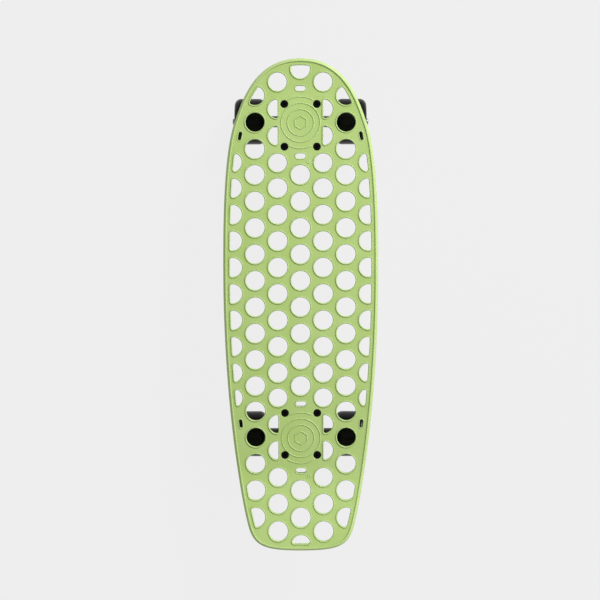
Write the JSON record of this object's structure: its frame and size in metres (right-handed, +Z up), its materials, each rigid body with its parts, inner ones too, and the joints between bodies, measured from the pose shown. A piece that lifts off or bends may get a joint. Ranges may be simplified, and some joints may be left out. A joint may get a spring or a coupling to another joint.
{
  "type": "skateboard",
  "caption": "Plastic cruiser skateboard: deck perforated with round holes, upturned tail, steering trucks with rubber bushings, and soft rolling wheels on ball bearings.",
  "frame": {"origin": "on the ground, under the middle of the deck's length and width, with the wheels' lowest points at Z = 0", "axes": "+X towards the nose, +Y to the rider's left, +Z up"},
  "size_m": [0.625, 0.198, 0.1159],
  "materials": {
    "deck_plastic": "satin moulded green plastic with a very fine grain",
    "truck_black": "semi-gloss black coating on cast metal",
    "black_hardware": "black oxide, satin",
    "steel": "zinc-plated and ground steel",
    "wheel_urethane": "smooth matte black urethane",
    "bushing_urethane": "matte black urethane",
    "pivot_cup_plastic": "matte moulded plastic"
  },
  "bodies": {
    "board": {"deck": "deck_plastic", "front_deck_bolt_1": "black_hardware", "front_deck_nut_1": "black_hardware", "front_deck_bolt_2": "black_hardware", "front_deck_nut_2": "black_hardware", "front_deck_bolt_3": "black_hardware", "front_deck_nut_3": "black_hardware", "front_deck_bolt_4": "black_hardware", "front_deck_nut_4": "black_hardware", "front_baseplate": "truck_black", "front_pivot_cup": "pivot_cup_plastic", "front_kingpin": "steel", "front_kingpin_nut": "steel", "front_boardside_washer": "steel", "front_roadside_washer": "steel", "front_boardside_bushing": "bushing_urethane", "front_roadside_bushing": "bushing_urethane", "rear_deck_bolt_1": "black_hardware", "rear_deck_nut_1": "black_hardware", "rear_deck_bolt_2": "black_hardware", "rear_deck_nut_2": "black_hardware", "rear_deck_bolt_3": "black_hardware", "rear_deck_nut_3": "black_hardware", "rear_deck_bolt_4": "black_hardware", "rear_deck_nut_4": "black_hardware", "rear_baseplate": "truck_black", "rear_pivot_cup": "pivot_cup_plastic", "rear_kingpin": "steel", "rear_kingpin_nut": "steel", "rear_boardside_washer": "steel", "rear_roadside_washer": "steel", "rear_boardside_bushing": "bushing_urethane", "rear_roadside_bushing": "bushing_urethane"},
    "front_hanger": {"front_hanger": "truck_black", "front_axle": "steel", "front_left_bearing_spacer": "steel", "front_left_axle_nut": "black_hardware", "front_right_bearing_spacer": "steel", "front_right_axle_nut": "black_hardware"},
    "rear_hanger": {"rear_hanger": "truck_black", "rear_axle": "steel", "rear_left_bearing_spacer": "steel", "rear_left_axle_nut": "black_hardware", "rear_right_bearing_spacer": "steel", "rear_right_axle_nut": "black_hardware"},
    "front_left_wheel": {"front_left_wheel": "wheel_urethane", "front_left_inner_bearing": "steel", "front_left_outer_bearing": "steel"},
    "front_right_wheel": {"front_right_wheel": "wheel_urethane", "front_right_inner_bearing": "steel", "front_right_outer_bearing": "steel"},
    "rear_left_wheel": {"rear_left_wheel": "wheel_urethane", "rear_left_inner_bearing": "steel", "rear_left_outer_bearing": "steel"},
    "rear_right_wheel": {"rear_right_wheel": "wheel_urethane", "rear_right_inner_bearing": "steel", "rear_right_outer_bearing": "steel"}
  },
  "joints": [
    {"name": "front_truck_steer", "type": "hinge", "parent": "board", "child": "front_hanger", "pos_m": [0.2137, 0, 0.04], "axis": [0.8584, 0, 0.513], "range_deg": [-13, 13], "stiffness_Nm_per_rad": 25, "deforming": ["front_boardside_bushing", "front_roadside_bushing"]},
    {"name": "rear_truck_steer", "type": "hinge", "parent": "board", "child": "rear_hanger", "pos_m": [-0.1523, 0, 0.04], "axis": [-0.8584, 0, 0.513], "range_deg": [-13, 13], "stiffness_Nm_per_rad": 25, "deforming": ["rear_boardside_bushing", "rear_roadside_bushing"]},
    {"name": "front_left_wheel_spin", "type": "hinge", "parent": "front_hanger", "child": "front_left_wheel", "pos_m": [0.2345, 0.0653, 0.0295], "axis": [0, 1, 0], "continuous": true},
    {"name": "front_right_wheel_spin", "type": "hinge", "parent": "front_hanger", "child": "front_right_wheel", "pos_m": [0.2345, -0.0653, 0.0295], "axis": [0, 1, 0], "continuous": true},
    {"name": "rear_left_wheel_spin", "type": "hinge", "parent": "rear_hanger", "child": "rear_left_wheel", "pos_m": [-0.1731, 0.0653, 0.0295], "axis": [0, 1, 0], "continuous": true},
    {"name": "rear_right_wheel_spin", "type": "hinge", "parent": "rear_hanger", "child": "rear_right_wheel", "pos_m": [-0.1731, -0.0653, 0.0295], "axis": [0, 1, 0], "continuous": true}
  ]
}
